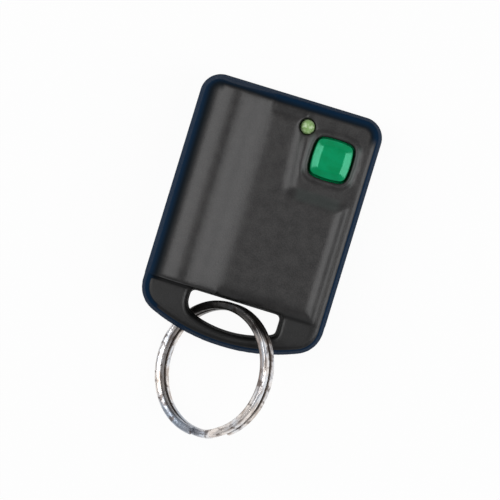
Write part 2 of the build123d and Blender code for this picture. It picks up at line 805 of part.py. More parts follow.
lead_offset = transistor_length / 3
with BuildPart() as rf_transistor_leads:
    for across, along in ((-lead_offset, -1), (lead_offset, -1), (0, 1)):
        lead_y = transistor_place[1] + along * (transistor_width / 2 + transistor_lead_reach / 2)
        box_block((transistor_place[0] + across, lead_y), transistor_lead_width, transistor_lead_reach,
                  board_top, transistor_bottom + transistor_lead_thickness)
write(rf_transistor_leads.part, "rf_transistor_leads")

# Chip resistors and chip capacitors
with BuildPart() as chip_resistors:
    for shares in resistor_shares:
        box_block(field_place(*shares), resistor_length, resistor_width, board_top,
                  board_top + resistor_height)
write(chip_resistors.part, "chip_resistors")

with BuildPart() as chip_capacitors:
    for shares in capacitor_shares:
        box_block(field_place(*shares), capacitor_length, capacitor_width, board_top,
                  board_top + capacitor_height)
write(chip_capacitors.part, "chip_capacitors")

# Trimmer that sets the frequency: a square base and a slotted rotor
trimmer_place = field_place(*trimmer_shares)
trimmer_top = board_top + trimmer_height
with BuildPart() as trimmer_base:
    box_block(trimmer_place, trimmer_width, trimmer_width, board_top, trimmer_top)
write(trimmer_base.part, "trimmer_base")

with BuildPart() as trimmer_rotor:
    rotor_top = trimmer_top + trimmer_rotor_height
    disc_block(trimmer_place, trimmer_rotor_diameter, trimmer_top, rotor_top)
    box_block(trimmer_place, trimmer_slot_width, trimmer_rotor_diameter, rotor_top - trimmer_slot_depth,
              rotor_top, mode=Mode.SUBTRACT)
write(trimmer_rotor.part, "trimmer_rotor")

# Loop antenna: a copper track round three sides of the board's free half
track_tail_y = board_tail_y + track_margin
track_head_y = board_head_y - track_margin / 2 - track_width / 4
track_start_x = screw_x + boss_diameter
track_end_x = lamp_x + lamp_flange_diameter
with BuildPart() as antenna_track:
    with BuildSketch(Plane.XY.offset(board_top)):
        with BuildLine():
            FilletPolyline((track_start_x, track_tail_y), (track_x, track_tail_y), (track_x, track_head_y),
                           (track_end_x, track_head_y), radius=tail_corner_radius / 2)
        trace(line_width=track_width)
    extrude(amount=track_thickness)
write(antenna_track.part, "antenna_track")

# Split key ring: one flat wire that makes two turns, one above the other, with a jog between them. It
# hangs through the slot, tilted so that it passes over the bar on the right and under it on the left,
# and its lowest point lies on the table beside the flat back.
ring_radius = (ring_outer_diameter - ring_wire_width) / 2
ring_rise = (ring_wire_thickness + ring_coil_gap) / 2
ring_half_height = ring_rise + ring_wire_thickness / 2
ring_low_radius = ring_outer_diameter / 2 - ring_wire_fillet
ring_low_height = ring_half_height - ring_wire_fillet
ring_z = parting_height + ring_centre_lift
ring_reach = (ring_z - ring_table_gap - ring_wire_fillet) / hypot(ring_low_radius, ring_low_height)
ring_tilt = asin(ring_reach) - atan2(ring_low_height, ring_low_radius)
tilt_sine = sin(ring_tilt)
tilt_cosine = cos(ring_tilt)
slot_wall_y = lug_y - (shoulder_height - ring_z) * tan(radians(slot_draft))
ring_y = slot_wall_y - ring_slot_clearance - ring_outer_diameter / 2
ring_plane = Plane(
    origin=(ring_offset, ring_y, ring_z),
    x_dir=(tilt_cosine, 0, tilt_sine),
    z_dir=(-tilt_sine, 0, tilt_cosine),
)


def ring_point(angle, rise):
    """Point on the wire's centre line, in the ring's own plane, with the angle in degrees."""
    return Vector(ring_radius * cos(radians(angle)), ring_radius * sin(radians(angle)), rise)


def ring_turn(start, end, rise):
    """One flat turn of the wire, in arcs of a quarter turn or less."""
    step = (end - start) / ring_arcs_per_turn
    for index in range(ring_arcs_per_turn):
        from_angle = start + index * step
        ThreePointArc(
            ring_point(from_angle, rise),
            ring_point(from_angle + step / 2, rise),
            ring_point(from_angle + step, rise),
        )


jog_angle = ring_jog_place - 90
jog_start = jog_angle - ring_jog_angle / 2
jog_end = jog_angle + ring_jog_angle / 2
wire_start = jog_end + ring_end_gap_angle - 360
wire_end = jog_start - ring_end_gap_angle + 360
jog_middle = Vector(cos(radians(jog_angle)), sin(radians(jog_angle))) * sqrt(ring_radius**2 + ring_rise**2)
with BuildLine() as ring_path:
    ring_turn(wire_start, jog_start, -ring_rise)
    jog_tangent = Vector(-sin(radians(jog_start)), cos(radians(jog_start)))
    rising = TangentArc(ring_point(jog_start, -ring_rise), jog_middle, tangent=jog_tangent)
    TangentArc(jog_middle, ring_point(jog_end, ring_rise), tangent=rising % 1)
    ring_turn(jog_end, wire_end, ring_rise)

start_plane = Plane(
    origin=ring_path.line @ 0,
    x_dir=(cos(radians(wire_start)), sin(radians(wire_start)), 0),
    z_dir=ring_path.line % 0,
)
with BuildPart() as key_ring_wire:
    with BuildSketch(start_plane):
        RectangleRounded(ring_wire_width, ring_wire_thickness, ring_wire_fillet)
    sweep(path=ring_path.line)
key_ring = ring_plane.location * key_ring_wire.part
write(key_ring, "key_ring")

# Least gap between the two turns of the wire, from points along its centre line
wire_points = [ring_path.line @ (index / ring_samples) for index in range(ring_samples + 1)]
quarter = ring_samples // 4
least_gap = min(
    (wire_points[index] - wire_points[other]).length - ring_wire_thickness
    for index in range(ring_samples + 1)
    for other in range(index + quarter, ring_samples + 1)
)
print("key ring: least gap between its turns", round(least_gap, 3), "mm")
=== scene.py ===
import json
from math import cos, radians, sin

import bpy
from mathutils import Matrix, Vector


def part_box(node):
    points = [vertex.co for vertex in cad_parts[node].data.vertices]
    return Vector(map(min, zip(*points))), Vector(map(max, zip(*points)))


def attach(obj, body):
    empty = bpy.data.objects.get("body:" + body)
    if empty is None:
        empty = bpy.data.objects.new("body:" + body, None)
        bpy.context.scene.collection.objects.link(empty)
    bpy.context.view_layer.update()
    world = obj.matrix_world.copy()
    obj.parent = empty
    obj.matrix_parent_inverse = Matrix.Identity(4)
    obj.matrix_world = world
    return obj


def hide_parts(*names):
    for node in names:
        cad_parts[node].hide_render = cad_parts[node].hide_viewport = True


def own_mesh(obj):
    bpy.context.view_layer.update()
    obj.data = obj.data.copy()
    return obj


# Alarm key fob, lying on its flat back on a pale table. Metres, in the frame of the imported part: +X to
# the right seen from the front, +Y to the head with the button, +Z out of the front.
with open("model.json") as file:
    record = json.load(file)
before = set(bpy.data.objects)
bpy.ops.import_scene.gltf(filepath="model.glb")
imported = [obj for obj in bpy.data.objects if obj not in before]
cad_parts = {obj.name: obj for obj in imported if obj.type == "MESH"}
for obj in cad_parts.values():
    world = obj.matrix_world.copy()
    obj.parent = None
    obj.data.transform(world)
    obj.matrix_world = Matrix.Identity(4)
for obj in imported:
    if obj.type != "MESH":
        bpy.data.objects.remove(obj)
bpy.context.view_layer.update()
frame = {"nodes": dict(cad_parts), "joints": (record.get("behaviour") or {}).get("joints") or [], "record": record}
nodes = frame["nodes"]
mm = 0.001


# Front cover
# One shell moulded in charcoal ABS, in a mould with a fine spark-eroded texture, and every edge is
# softened, as the polished mould leaves it. Its side wall and steep edges carry a painted blue-black
# reflection; its steep walls, creases, lug and tail carry painted shade, and the collar round the button a
# painted highlight. One screw from the back holds it.
class Link:
    """An output in a material, on which sums and products add Math nodes."""

    def __init__(self, finish, socket):
        self.finish = finish
        self.socket = socket

    def math(self, operation, *values):
        inputs = dict(enumerate(values))
        return self.finish.node("ShaderNodeMath", inputs, operation=operation)

    def __add__(self, other):
        return self.math("ADD", self, other)

    def __radd__(self, other):
        return self.math("ADD", other, self)

    def __sub__(self, other):
        return self.math("SUBTRACT", self, other)

    def __rsub__(self, other):
        return self.math("SUBTRACT", other, self)

    def __mul__(self, other):
        return self.math("MULTIPLY", self, other)

    def __rmul__(self, other):
        return self.math("MULTIPLY", other, self)

    def __truediv__(self, other):
        return self.math("DIVIDE", self, other)

    def __pow__(self, other):
        return self.math("POWER", self, other)

    def __abs__(self):
        return self.math("ABSOLUTE", self)

    def sine(self):
        return self.math("SINE", self)

    def largest(self, other):
        return self.math("MAXIMUM", self, other)

    def least(self, other):
        return self.math("MINIMUM", self, other)

    def step(self, start, end):
        """0 before start and 1 after end, with a soft change between them."""
        inputs = {"Value": self, "From Min": start, "From Max": end}
        return self.finish.node("ShaderNodeMapRange", inputs, interpolation_type="SMOOTHSTEP")

    def near(self, middle, reach):
        """1 at the middle and 0 far from it; the reach is how far off each of 0 and 1 starts."""
        return abs(self - middle).step(*reach)


class Finish:
    """A material under construction, or the sky."""

    def __init__(self, name, world=False):
        self.block = (bpy.data.worlds if world else bpy.data.materials).new(name)
        self.output_kind = "ShaderNodeOutputWorld" if world else "ShaderNodeOutputMaterial"
        self.block.use_nodes = True
        self.tree = self.block.node_tree
        self.tree.nodes.clear()
        self.place = self.node("ShaderNodeTexCoord", output="Object")

    def node(self, kind, inputs=None, output=0, stops=(), **settings):
        """Add a node with its settings and a ramp's two stops, then what its sockets get."""
        made = self.tree.nodes.new(kind)
        for name, value in settings.items():
            setattr(made, name, value)
        for index, (position, colour) in enumerate(stops):
            made.color_ramp.elements[index].position = position
            made.color_ramp.elements[index].color = (*colour, 1)
        for name, value in (inputs or {}).items():
            socket = made.inputs[name]
            if isinstance(value, Link):
                self.tree.links.new(value.socket, socket)
            elif socket.type == "RGBA":
                socket.default_value = (*value, 1)
            else:
                socket.default_value = value
        return Link(self, made.outputs[output])

    def blend(self, share, first, second):
        """Mix of two colours by a share."""
        inputs = {0: share, 6: first, 7: second}
        return self.node("ShaderNodeMix", inputs, output=2, data_type="RGBA", clamp_factor=True)

    def noise(self, grain, detail, place=None):
        """Noise whose blotches are about one grain wide."""
        inputs = {"Vector": place or self.place, "Scale": 1 / grain, "Detail": detail}
        return self.node("ShaderNodeTexNoise", inputs, output="Fac")

    def axes(self, place=None):
        inputs = {"Vector": place or self.place}
        made = self.node("ShaderNodeSeparateXYZ", inputs)
        outputs = made.socket.node.outputs
        return [Link(self, outputs[index]) for index in range(3)]

    def bump(self, height, depth, normal=None):
        """Relief of a height between 0 and 1 and a depth in metres."""
        inputs = {"Height": height, "Distance": depth, "Strength": 1.0}
        if normal:
            inputs["Normal"] = normal
        return self.node("ShaderNodeBump", inputs)

    def shader(self, **sockets):
        """A Principled shader, with its sockets named in small letters."""
        inputs = {name.replace("_", " ").title(): value for name, value in sockets.items()}
        inputs = {name.replace("Ior", "IOR"): value for name, value in inputs.items()}
        return self.node("ShaderNodeBsdfPrincipled", inputs)

    def done(self, shader):
        """Join the last shader to the output."""
        made = self.tree.nodes.new(self.output_kind)
        self.tree.links.new(shader.socket, made.inputs["Surface"])
        return self.block

    def surface(self, **sockets):
        return self.done(self.shader(**sockets))


def select_only(piece):
    bpy.ops.object.select_all(action="DESELECT")
    piece.select_set(True)
    bpy.context.view_layer.objects.active = piece


merge_distance = 0.002 * mm


def merged_copy(node, name):
    """A copy of a CAD node with its loose triangles merged."""
    select_only(nodes[node])
    bpy.ops.object.duplicate()
    piece = bpy.context.object
    piece.name = name
    select_only(piece)
    bpy.ops.mesh.customdata_custom_splitnormals_clear()
    bpy.ops.object.mode_set(mode="EDIT")
    bpy.ops.mesh.select_all(action="SELECT")
    bpy.ops.mesh.remove_doubles(threshold=merge_distance)
    bpy.ops.object.mode_set(mode="OBJECT")
    piece.data.materials.clear()
    return piece


def apply_modifier(piece, kind, **settings):
    select_only(piece)
    made = piece.modifiers.new(kind, kind)
    for name, value in settings.items():
        setattr(made, name, value)
    bpy.ops.object.modifier_apply(modifier=made.name)


def remesh(piece, voxel, rounds):
    """Rebuild a piece on a grid of voxels, then smooth it a number of rounds."""
    settings = {"mode": "VOXEL", "voxel_size": voxel, "adaptivity": 0.0, "use_smooth_shade": True}
    apply_modifier(piece, "REMESH", **settings)
    apply_modifier(piece, "SMOOTH", factor=0.5, iterations=rounds)


def finish_piece(piece, material, body, replaced):
    """Give a piece its material and body, and hide the node that it stands for."""
    piece.data.materials.clear()
    piece.data.materials.append(material)
    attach(piece, body)
    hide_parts(replaced)


def paint(material, *names):
    for name in names:
        nodes[name].data.materials.clear()
        nodes[name].data.materials.append(material)


cover_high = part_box("front_cover")[1]
button_low, button_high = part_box("push_button")
lens_low, lens_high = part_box("led_lens")
rear_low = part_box("rear_cover")[0]
button_x = (button_low[0] + button_high[0]) / 2
button_y = (button_low[1] + button_high[1]) / 2
lens_place = Vector(((lens_low[0] + lens_high[0]) / 2, (lens_low[1] + lens_high[1]) / 2))
casing_corner = 4.3 * mm
tail_bow = 80 * mm
shoulder = 11.4 * mm
shell_voxel = 0.27 * mm
shell_rounds = 6
step_rounds = 70
moulding_grain = 0.28 * mm
moulding_relief = 0.030 * mm
mottle_grain = 2.2 * mm
charcoal_dark = (0.024, 0.023, 0.023)
charcoal_light = (0.047, 0.045, 0.044)
# Painted shade: a darker charcoal for the lug, the barrel's tail end and the notch at the head.
charcoal_painted_shade = (0.018, 0.018, 0.018)
# Painted shade: the deepest charcoal, for steep walls, the crease, the slot's lip, the tail and the trough.
charcoal_painted_deep_shade = (0.008, 0.008, 0.008)
# Painted light: a pale charcoal for the highlight on the collar round the button and the end of the recess.
charcoal_painted_light = (0.070, 0.086, 0.080)
# Painted reflection: the blue-black of the side wall and steep edges, dark inside and bluer at the outline.
navy_inner_reflection = (0.008, 0.012, 0.016)
navy_outer_reflection = (0.005, 0.021, 0.050)

# Each pair here is where a change of look starts and ends: across the casing, along it, as a distance
# from its outline, which is negative inside, or as the lean of the surface, which is 1 where it is flat.
steep_lean = (0.60, 0.35)
thin_band_rim = (-1.9 * mm, -1.2 * mm)
thin_band_lean = (0.85, 0.62)
head_band_rim = (-3.1 * mm, -2.2 * mm)
head_band_y = (20 * mm, 23 * mm)
left_band_rim = (-4.4 * mm, -2.3 * mm)
left_band_x = (-14 * mm, -15 * mm)
left_band_lean = (0.999, 0.97)
navy_rim = (-2.6 * mm, -1.2 * mm)
blotch_range = (0.3, 0.7)
grain_range = (0.35, 0.65)
barrel_end_y = (-12.5 * mm, -14.5 * mm)
lug_y = (-15.6 * mm, -16.8 * mm)
tail_y = (-20.5 * mm, -24 * mm)
crease_y = -17 * mm
crease_reach = (0.5 * mm, 0.15 * mm)
slot_lip_y = (-17.0 * mm, -17.6 * mm)
slot_lip_rim = (-1.3 * mm, -2.0 * mm)
slot_lip_lean = (0.95, 0.75)
trough_x = 16.5 * mm
trough_reach = (0.5 * mm, 0.15 * mm)
trough_y = (8 * mm, 5 * mm)
collar_inside = (4.3 * mm, 4.6 * mm)
collar_outside = (5.6 * mm, 5.1 * mm)
collar_length = (4.6 * mm, 3.4 * mm)
notch_x = 3.4 * mm
notch_reach = (1.6 * mm, 0.6 * mm)
notch_y = (21.7 * mm, 22.7 * mm)
recess_end_x = 10 * mm
recess_end_reach_x = (5.2 * mm, 3.8 * mm)
recess_end_y = 7.5 * mm
recess_end_reach_y = (1.8 * mm, 0.6 * mm)

shell_plastic = Finish("moulded charcoal plastic")
side_x, side_y = shell_plastic.axes()[:2]
lean = shell_plastic.axes(shell_plastic.node("ShaderNodeTexCoord", output="Normal"))[2]
across = abs(side_x) - (cover_high[0] - casing_corner)
along = side_y.largest(side_x * side_x / tail_bow - side_y) - (cover_high[1] - casing_corner)
rim = (across.largest(0) ** 2 + along.largest(0) ** 2) ** 0.5 + across.largest(along).least(0)
rim = rim - casing_corner
# Where the side wall and steep edges get the painted blue-black reflection.
thin_band = rim.step(*thin_band_rim) * lean.step(*thin_band_lean)
head_band = rim.step(*head_band_rim) * side_y.step(*head_band_y)
left_band = rim.step(*left_band_rim) * side_x.step(*left_band_x) * lean.step(*left_band_lean)
band = thin_band.largest(head_band.largest(left_band))

mottle = shell_plastic.noise(mottle_grain, 4)
grain = shell_plastic.noise(moulding_grain, 3)
speckle = mottle.step(*blotch_range) * 0.5 + grain.step(*grain_range) * 0.5
# Painted shade on the barrel's tail end and the lug.
lug_shade = side_y.step(*barrel_end_y) * 0.35 + side_y.step(*lug_y) * 0.55
# Painted highlight on the collar round the button.
beside_button = abs(side_x - button_x)
collar = beside_button.step(*collar_inside) * beside_button.step(*collar_outside)
collar = collar * side_y.near(button_y, collar_length) * 0.6
# Painted shade in the crease at the foot of the barrel's tail end.
crease = side_y.near(crease_y, crease_reach) * 0.8
# Painted shade on the lip of the slot.
slot_lip = side_y.step(*slot_lip_y) * rim.step(*slot_lip_rim) * lean.step(*slot_lip_lean)
# Painted shade, darker towards the tail.
tail_shade = side_y.step(*tail_y) * 0.8
# Painted shade in the trough along the foot of the plateau.
trough = side_x.near(trough_x, trough_reach) * side_y.step(*trough_y) * 0.5
# Painted shade at the notch where the barrel's skirt ends near the head.
notch = side_y.step(*notch_y) * side_x.near(notch_x, notch_reach) * 0.6
# Painted light on the shaded end of the recess below the button.
recess_end = side_y.near(recess_end_y, recess_end_reach_y) * side_x.near(recess_end_x, recess_end_reach_x)
charcoal = shell_plastic.blend(speckle, charcoal_dark, charcoal_light)
charcoal = shell_plastic.blend(lug_shade, charcoal, charcoal_painted_shade)
charcoal = shell_plastic.blend(collar, charcoal, charcoal_painted_light)
charcoal = shell_plastic.blend(crease.largest(slot_lip).largest(tail_shade), charcoal, charcoal_painted_deep_shade)
charcoal = shell_plastic.blend(trough, charcoal, charcoal_painted_deep_shade)
charcoal = shell_plastic.blend(notch, charcoal, charcoal_painted_shade)
charcoal = shell_plastic.blend(recess_end * 0.35, charcoal, charcoal_painted_light)
relief = shell_plastic.bump(grain, moulding_relief)
front_face = shell_plastic.shader(
    base_color=charcoal,
    roughness=0.28 + 0.10 * grain + 0.06 * mottle,
    normal=relief,
    specular_ior_level=0.40,
)
# Painted reflection, from near black inside the band to blue at the outline.
navy = shell_plastic.blend(rim.step(*navy_rim), navy_inner_reflection, navy_outer_reflection)
# Steep walls get the deep painted shade, and the band the painted blue-black reflection.
side_wall = shell_plastic.shader(
    base_color=shell_plastic.blend(band, charcoal_painted_deep_shade, navy),
    roughness=0.55 + 0.10 * grain,
    normal=relief,
    specular_ior_level=0.01,
)
wall_share = band.largest(lean.step(*steep_lean))
shell_shader = shell_plastic.node("ShaderNodeMixShader", {0: wall_share, 1: front_face, 2: side_wall})
shell_material = shell_plastic.done(shell_shader)

# The steps of the front are rounded above the shoulder, away from the holes, the barrel, the right edge
# of the plateau and the rim.
soft_height = (shoulder - 0.6 * mm, shoulder - 0.2 * mm)
soft_top = (shoulder, shoulder + 0.5 * mm)
soft_from_button = (5.3 * mm, 6.2 * mm)
soft_from_lens = (2.1 * mm, 3.6 * mm)
soft_from_rim = (1.4 * mm, 2.4 * mm)
soft_x = (-11 * mm, -8 * mm)
soft_y = (rear_low[1] + 0.3 * mm, rear_low[1] + 1.5 * mm)
crisp_x = (12.6 * mm, 13.4 * mm)
crisp_share = 0.85


def ease(value, low, high):
    """0 below low and 1 above high."""
    return max(0.0, min(1.0, (value - low) / (high - low)))


def softness(place):
    """How much the mould's polish rounds the shell at a place, from 0 to 1."""
    x, y, z = place
    from_button = max(abs(x - button_x), abs(y - button_y))
    from_lens = (place.xy - lens_place).length
    from_rim = min(cover_high[0] - x, cover_high[1] - y)
    weight = ease(z, *soft_height) * ease(x, *soft_x) * ease(y, *soft_y)
    weight *= ease(from_button, *soft_from_button) * ease(from_lens, *soft_from_lens)
    weight *= 1 - crisp_share * ease(x, *crisp_x)
    return weight * max(ease(from_rim, *soft_from_rim), ease(z, *soft_top))


shell = merged_copy("front_cover", "front_shell")
remesh(shell, shell_voxel, shell_rounds)
soft = shell.vertex_groups.new(name="soft")
for vertex in shell.data.vertices:
    soft.add([vertex.index], softness(vertex.co), "REPLACE")
apply_modifier(shell, "SMOOTH", factor=0.5, iterations=step_rounds, vertex_group="soft")
shell.vertex_groups.clear()
finish_piece(shell, shell_material, "casing", "front_cover")


# Rear cover
# The shallow tray with the flat back, moulded in blue-black ABS with a satin face. Its lip goes inside
# the front cover.
rear_navy = (0.005, 0.016, 0.038)
rear_navy_light = (0.008, 0.022, 0.050)
rear_relief = 0.014 * mm
rear_plastic = Finish("satin blue-black plastic")
rear_grain = rear_plastic.noise(moulding_grain, 3)
rear_mottle = rear_plastic.noise(6 * mm, 4)
paint(
    rear_plastic.surface(
        base_color=rear_plastic.blend(rear_mottle, rear_navy, rear_navy_light),
        roughness=0.50 + 0.12 * rear_grain,
        normal=rear_plastic.bump(rear_grain, rear_relief),
        specular_ior_level=0.08,
    ),
    "rear_cover",
)


# Push button
# A square cap moulded in glossy green ABS, with bulged sides, a bevel on each side and a flat top. Its
# flange holds it in the front cover, and its stem presses the switch.
button_dark = (0.0005, 0.270, 0.090)
button_light = (0.001, 0.320, 0.120)
button_shine = (0.25, 1.0, 0.68)
button_relief = 0.07 * mm
button_voxel = 0.09 * mm
button_rounds = 34
button_green = Finish("glossy green plastic")
button_swirl = button_green.noise(2.2 * mm, 3)
button_dust = button_green.noise(0.25 * mm, 2)
button_material = button_green.surface(
    base_color=button_green.blend(button_swirl.step(0.3, 0.7), button_dark, button_light),
    roughness=0.17 + 0.10 * button_dust,
    normal=button_green.bump(button_swirl, button_relief),
    specular_ior_level=1.0,
    specular_tint=button_shine,
)
button = merged_copy("push_button", "green_button")
remesh(button, button_voxel, button_rounds)
finish_piece(button, button_material, "button", "push_button")


# Lamp
# A 3 mm light-emitting diode, cast in clear yellow-green epoxy round two tinned leads, one of which
# ends in the cup that holds the chip.
lens_green = (0.34, 0.56, 0.20)
lens_light = (0.66, 0.88, 0.48)
lens_resin = Finish("clear yellow-green resin")
lens_cloud = lens_resin.noise(0.7 * mm, 3)
paint(
    lens_resin.surface(
        base_color=lens_resin.blend(lens_cloud.step(0.40, 0.65), lens_green, lens_light),
        roughness=0.12 + 0.10 * lens_cloud,
        transmission_weight=0.2,
        ior=1.5,
    ),
    "led_lens",
)


# Split key ring
# Flat steel wire wound into two turns and bright nickel plated, with painted shade in the seam between the
# turns. It hangs in the slot of the lug, where its upper arc is painted dark as shade and a reflection of the
# casing. Its bottom carries a painted blue reflection, and its right limb a painted warm brown one.
nickel_warm = (0.93, 0.85, 0.79)
nickel_cool = (0.80, 0.83, 0.88)
nickel_drawn = (0.46, 0.38, 0.33)
# Painted reflection: a blue-grey on the bottom of the ring.
nickel_painted_blue_reflection = (0.26, 0.32, 0.41)
# Painted reflection: a warm brown on the right limb of the ring.
nickel_painted_brown_reflection = (0.22, 0.155, 0.125)
nickel_scuff = (0.13, 0.095, 0.08)
# Painted shade in the seam between the turns and on the inner edge of the upper turn.
seam_painted_shade = (0.062, 0.042, 0.030)
# Painted shade and a painted dark reflection of the casing, on the upper arc in the slot.
arc_painted_dark_reflection = (0.018, 0.015, 0.014)
wire_middle = 13.15 * mm
wire_half = 0.85 * mm
wire_round = 0.16 * mm
scuff_relief = 0.05 * mm
drawn_turn = 4 * mm
seam_rise = (0.50 * mm, 0.30 * mm)
inner_reach = (12.75 * mm, 12.35 * mm)
inner_rise = (0.05 * mm, 0.25 * mm)
seam_up = (-12.3 * mm, -10.8 * mm)
seam_lower_up = (-9 * mm, -4 * mm)
seam_left = (2 * mm, -2 * mm)
blue_up = (-8.5 * mm, -11.5 * mm)
blue_across = (4 * mm, -1 * mm)
brown_across = (8 * mm, 10 * mm)
brown_up = (-3 * mm, 2 * mm)
brown_reach = (13.4 * mm, 12.8 * mm)
arc_up = (8.0 * mm, 10.5 * mm)

loop = next(mount for mount in frame["record"]["mounts"] if mount["name"] == "key_ring_loop")
loop_x, loop_y, loop_z = loop["pos_m"]
loop_axis_x, loop_axis_z = loop["axis"][0], loop["axis"][2]
ring_plate = Finish("bright nickel plate")
ring_x, ring_y, ring_z = ring_plate.axes()
ring_across = (ring_x - loop_x) * loop_axis_z - (ring_z - loop_z) * loop_axis_x
ring_rise = (ring_x - loop_x) * loop_axis_x + (ring_z - loop_z) * loop_axis_z
ring_up = ring_y - loop_y
ring_angle = ring_up.math("ARCTAN2", ring_up, ring_across)
ring_reach = (ring_up ** 2 + ring_across ** 2) ** 0.5
drawn_inputs = {0: ring_angle * drawn_turn, 1: ring_rise, 2: ring_reach}
drawn_place = ring_plate.node("ShaderNodeCombineXYZ", drawn_inputs)

# Painted shade in the seam between the turns and along the inner edge of the upper turn.
inner_side = ring_reach.step(*inner_reach) * ring_rise.step(*inner_rise) * 0.8
seam = abs(ring_rise).step(*seam_rise).largest(inner_side) * ring_up.step(*seam_up)
seam = seam * ring_up.step(*seam_lower_up).largest(ring_across.step(*seam_left))
ring_scuff = ring_plate.noise(1.6 * mm, 3)
ring_drawn = ring_plate.noise(0.6 * mm, 2, place=drawn_place)
ring_tint = ring_plate.noise(5 * mm, 1)
# Painted blue reflection on the bottom of the ring.
ring_painted_blue_reflection = ring_up.step(*blue_up) * ring_across.step(*blue_across) * 0.75
# Painted warm brown reflection on the right limb of the ring.
ring_painted_brown_reflection = ring_across.step(*brown_across) * ring_up.step(*brown_up) * ring_reach.step(*brown_reach)
# Painted shade and dark reflection of the casing on the upper arc, where it runs in the slot.
ring_arc = ring_up.step(*arc_up) * 0.9
ring_colour = ring_plate.blend(ring_tint.step(0.35, 0.65), nickel_warm, nickel_cool)
ring_colour = ring_plate.blend(ring_drawn.step(0.45, 0.68) * 0.8, ring_colour, nickel_drawn)
ring_colour = ring_plate.blend(ring_painted_blue_reflection, ring_colour, nickel_painted_blue_reflection)
ring_colour = ring_plate.blend(ring_painted_brown_reflection * 0.8, ring_colour, nickel_painted_brown_reflection)
ring_colour = ring_plate.blend(ring_scuff.step(0.54, 0.64) * 0.8, ring_colour, nickel_scuff)
ring_colour = ring_plate.blend(seam * 0.95, ring_colour, seam_painted_shade)
ring_colour = ring_plate.blend(ring_arc, ring_colour, arc_painted_dark_reflection)
rounding = ring_plate.bump(1 - ((ring_reach - wire_middle) / wire_half) ** 2, wire_round)
paint(
    ring_plate.surface(
        base_color=ring_colour,
        metallic=0.55 + 0.35 * ring_arc,
        roughness=0.16 + 0.16 * ring_scuff.step(0.45, 0.75) + 0.3 * seam,
        normal=ring_plate.bump(ring_scuff, scuff_relief, rounding),
    ),
    "key_ring",
)


# Case screw
# A self-tapping pan head screw of zinc plated steel, driven from the back into a boss of the front
# cover.
zinc_dark = (0.42, 0.43, 0.45)
zinc_light = (0.62, 0.62, 0.60)
zinc_relief = 0.01 * mm
screw_zinc = Finish("zinc plate")
screw_spangle = screw_zinc.noise(0.5 * mm, 3)
paint(
    screw_zinc.surface(
        base_color=screw_zinc.blend(screw_spangle, zinc_dark, zinc_light),
        metallic=1.0,
        roughness=0.26 + 0.18 * screw_spangle,
        normal=screw_zinc.bump(screw_spangle, zinc_relief),
    ),
    "case_screw",
)


# Circuit board
# A sheet of woven glass and epoxy under green solder mask, with a copper track round its edge as the
# antenna. It lies on two ribs of the rear cover.
mask_dark = (0.010, 0.085, 0.030)
mask_light = (0.030, 0.170, 0.060)
weave_turns = 6000
weave_relief = 0.006 * mm
board_mask = Finish("green solder mask")
weave_x, weave_y = board_mask.axes()[:2]
weave = (weave_x * weave_turns).sine() * (weave_y * weave_turns).sine()
board_mottle = board_mask.noise(4 * mm, 3)
mask_share = board_mottle * 0.6 + weave * 0.15 + 0.15
paint(
    board_mask.surface(
        base_color=board_mask.blend(mask_share, mask_dark, mask_light),
        roughness=0.32 + 0.10 * board_mottle,
        normal=board_mask.bump(weave, weave_relief),
    ),
    "circuit_board",
)

copper_bright = (0.75, 0.36, 0.20)
copper_stained = (0.45, 0.21, 0.13)
track_copper = Finish("bare copper")
track_stain = track_copper.noise(1.5 * mm, 4)
paint(
    track_copper.surface(
        base_color=track_copper.blend(track_stain, copper_bright, copper_stained),
        metallic=1.0,
        roughness=0.28 + 0.22 * track_stain,
    ),
    "antenna_track",
)


# Tinned parts
# Leads, pins, terminals, the switch's frame, the resonator's can and the ends of the battery, all of
# steel or copper dipped or plated in tin.
tin_bright = (0.62, 0.62, 0.61)
tin_dull = (0.46, 0.46, 0.46)
tin_plate = Finish("tin plate")
tin_cloud = tin_plate.noise(0.8 * mm, 4)
tin_material = tin_plate.surface(
    base_color=tin_plate.blend(tin_cloud, tin_bright, tin_dull),
    metallic=1.0,
    roughness=0.24 + 0.22 * tin_cloud,
)
paint(
    tin_material,
    "led_leads",
    "switch_frame",
    "switch_terminals",
    "battery_positive_cap",
    "battery_negative_plate",
    "resonator_can",
    "resonator_pins",
    "encoder_pins",
    "rf_transistor_leads",
)


# Snap dome of the switch
# A shallow dome of tinned spring steel, held by its rim in the well of the switch.
dome_low, dome_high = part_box("switch_dome")
plunger_press = next(joint for joint in frame["joints"] if joint["name"] == "plunger_press")
dome_keep = 1 - plunger_press["range_m"][1] / (dome_high[2] - dome_low[2])
dome = merged_copy("switch_dome", "snap_dome")
finish_piece(dome, tin_material, "casing", "switch_dome")
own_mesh(dome)


# Sprung contacts and trimmer rotor
# The contacts are strips of nickel plated brass, bent so that they bow against the ends of the battery.
# The rotor is a slotted disc of the same brass, on the base of the trimmer.
brass_light = (0.70, 0.60, 0.38)
brass_dark = (0.56, 0.46, 0.28)
contact_brass = Finish("nickel plated brass")
contact_draw = contact_brass.noise(0.3 * mm, 2)
paint(
    contact_brass.surface(
        base_color=contact_brass.blend(contact_draw, brass_light, brass_dark),
        metallic=1.0,
        roughness=0.25 + 0.15 * contact_draw,
    ),
    "battery_positive_contact",
    "battery_negative_contact",
    "trimmer_rotor",
)


